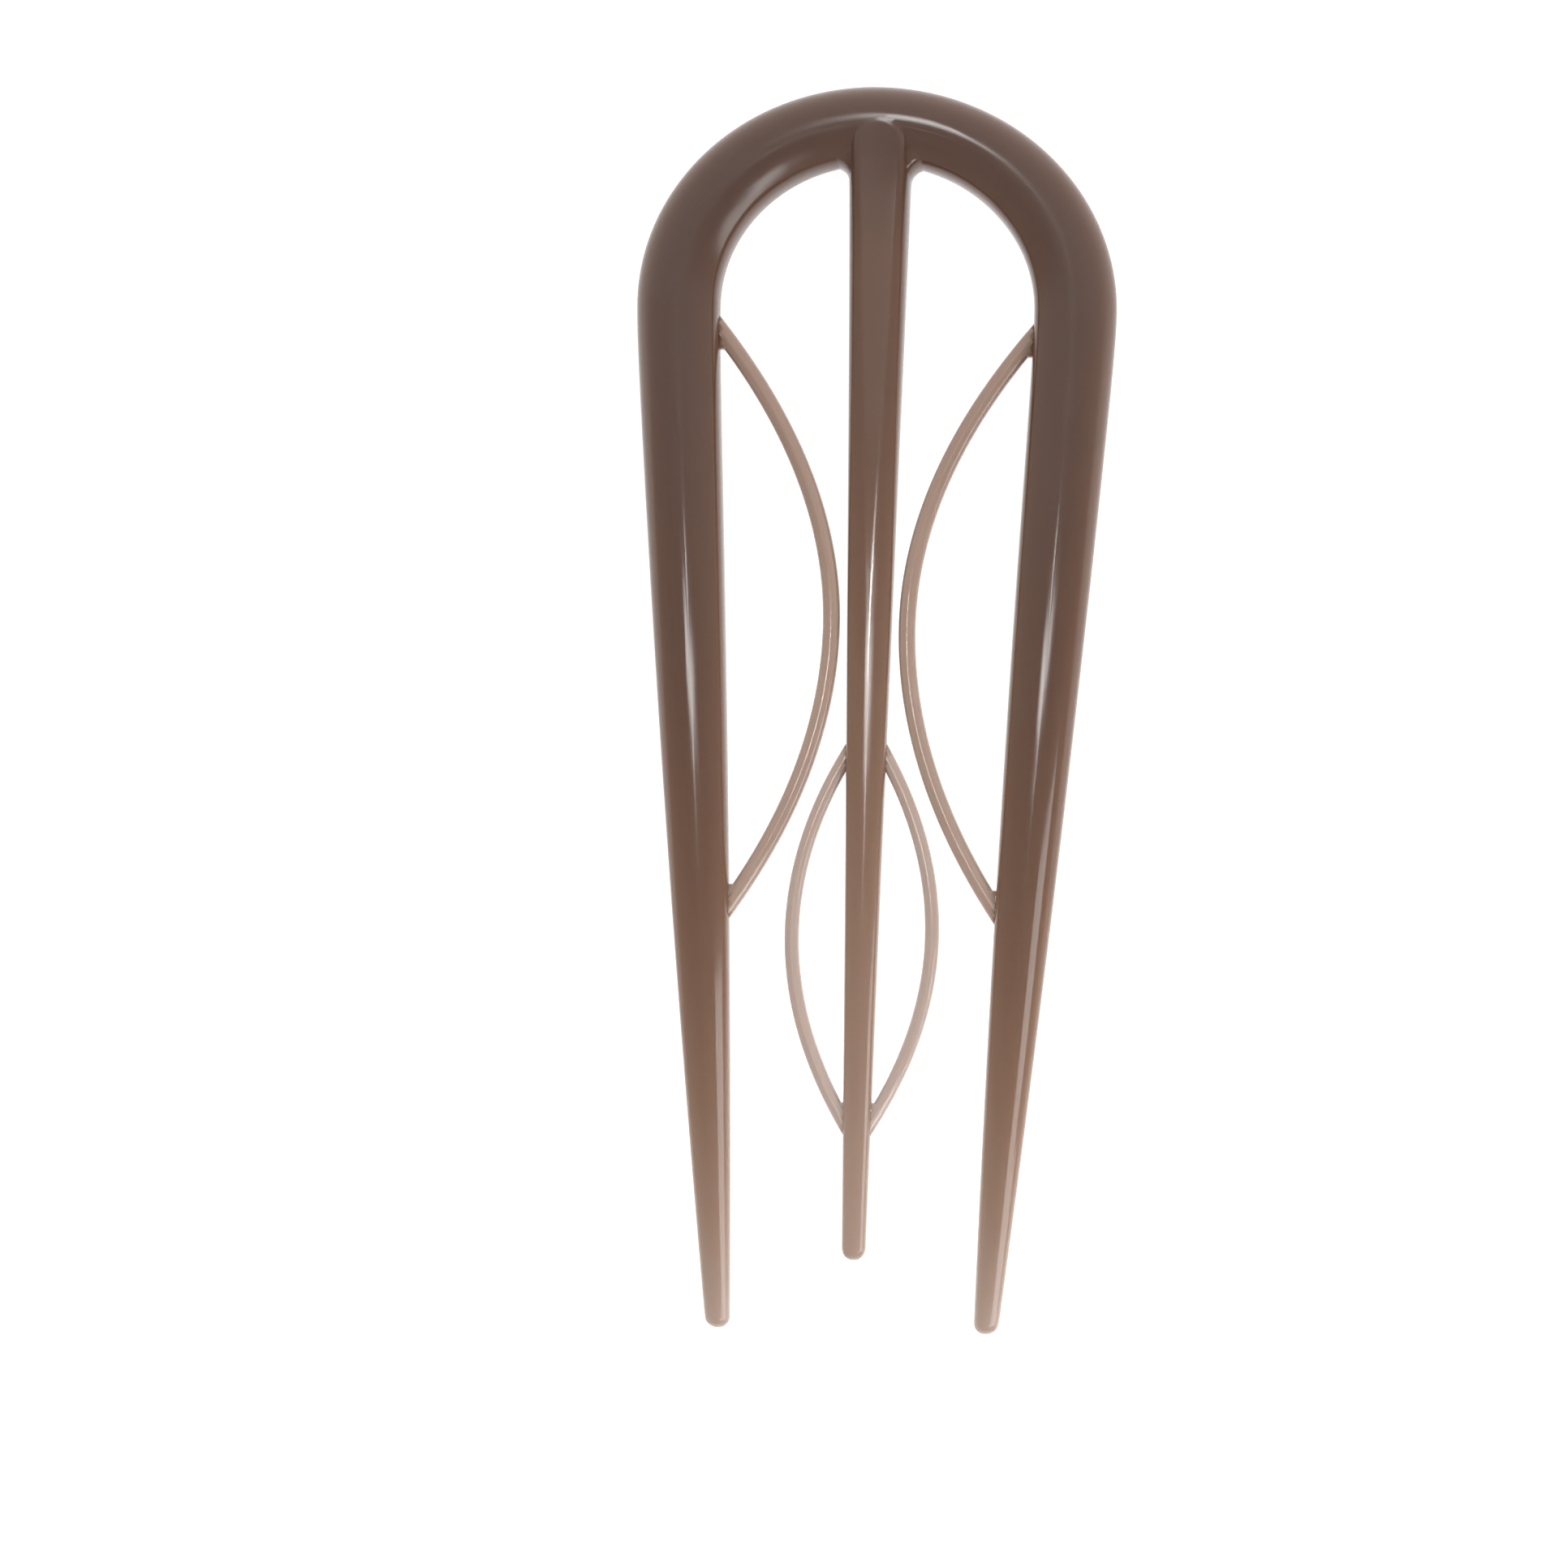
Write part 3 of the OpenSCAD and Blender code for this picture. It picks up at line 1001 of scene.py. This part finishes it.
class HAIRPIN_OT_stage(bpy.types.Operator):
    """Set up the floor, the soft lights and the camera"""

    bl_idname = "hairpin.stage"
    bl_label = "Floor, lights and camera"

    def execute(self, context):
        self.floor()
        self.sky(context.scene)
        self.lights()
        self.camera(context.scene)
        context.scene.view_settings.view_transform = "Standard"
        return {"FINISHED"}

    def floor(self):
        select_none()
        bpy.ops.mesh.primitive_plane_add(size=FLOOR_SIZE, location=(0, 0, 0))
        floor = bpy.context.object
        floor.name = "floor"
        paper = bpy.data.materials.new("white_floor")
        paper.use_nodes = True
        skin = paper.node_tree.nodes["Principled BSDF"]
        skin.inputs["Base Color"].default_value = FLOOR_COLOR
        skin.inputs["Roughness"].default_value = FLOOR_ROUGHNESS
        skin.inputs["Specular IOR Level"].default_value = 0
        skin.inputs["Emission Color"].default_value = (1, 1, 1, 1)
        skin.inputs["Emission Strength"].default_value = FLOOR_GLOW
        floor.data.materials.append(paper)

    def sky(self, scene):
        world = bpy.data.worlds.new("studio")
        scene.world = world
        world.use_nodes = True
        tree = world.node_tree
        background = tree.nodes["Background"]
        link = tree.links.new
        coords = tree.nodes.new("ShaderNodeTexCoord")
        parts = tree.nodes.new("ShaderNodeSeparateXYZ")
        link(coords.outputs["Generated"], parts.inputs[0])
        _, y, z = parts.outputs
        total = math_node(tree, "ADD", slope(tree, y, *SKY_NORTH), SKY_LEAST)
        total = math_node(tree, "ADD", total, slope(tree, z, *SKY_LOW))
        total = math_node(tree, "ADD", total, slope(tree, y, *SKY_FAR_NORTH))
        link(total, background.inputs["Strength"])
        background.inputs["Color"].default_value = (1, 1, 1, 1)

    def lights(self):
        for i, (west, east) in enumerate(zip(KEY_EDGES, KEY_EDGES[1:])):
            middle = ((west + east) / 2, KEY_Y, KEY_Z)
            size = (east - west, KEY_DEEP)
            soft_light(f"key_{i}", middle, size, KEY_RADIANCE[i], KEY_AIM, KEY_SPREAD)
        for light in LIGHTS:
            soft_light(*light)

    def camera(self, scene):
        studio = scene.hairpin_studio
        mid = Vector(FRAME_MID) * MM
        over = Vector(CAMERA_OVER) * MM
        spot = Matrix.Rotation(studio.roll, 2) @ over
        select_none()
        up = studio.camera_up + SCALE_Z * MM
        bpy.ops.object.camera_add(location=(spot.x, spot.y, up), rotation=(0, 0, studio.roll))
        camera = bpy.context.object
        camera.data.sensor_width = FILM_W
        camera.data.lens = FILM_W * studio.camera_up / studio.frame_w
        camera.data.shift_x = (mid.x - over.x) / studio.frame_w
        camera.data.clip_start = NEAREST * MM
        scene.camera = camera


class HAIRPIN_PT_sidebar(bpy.types.Panel):
    """Lists the steps, sizes and colours of the hairpin and its studio"""

    bl_idname = "HAIRPIN_PT_sidebar"
    bl_label = "Hairpin"
    bl_space_type = "VIEW_3D"
    bl_region_type = "UI"
    bl_category = "Hairpin"

    def draw(self, context):
        for step in STEPS:
            self.layout.operator(step.bl_idname)
        for group_name in GROUPS:
            group = getattr(context.scene, group_name)
            box = self.layout.box()
            for name in group.__annotations__:
                box.prop(group, name)


STEPS = [
    HAIRPIN_OT_stage,
    HAIRPIN_OT_arch_and_legs,
    HAIRPIN_OT_prong,
    HAIRPIN_OT_ribs,
    HAIRPIN_OT_leaf_loop,
    HAIRPIN_OT_webs,
    HAIRPIN_OT_moulding,
]
GROUPS = {"hairpin_sizes": HairpinSizes, "hairpin_finish": HairpinFinish, "hairpin_studio": HairpinStudio}
CLASSES = list(GROUPS.values()) + STEPS + [HAIRPIN_PT_sidebar]


def register():
    for cls in CLASSES:
        bpy.utils.register_class(cls)
    for name, group in GROUPS.items():
        setattr(bpy.types.Scene, name, PointerProperty(type=group))


def unregister():
    for name in GROUPS:
        delattr(bpy.types.Scene, name)
    for cls in reversed(CLASSES):
        bpy.utils.unregister_class(cls)


def main():
    register()
    for step in STEPS:
        group, name = step.bl_idname.split(".")
        getattr(getattr(bpy.ops, group), name)()


if __name__ == "__main__":
    main()
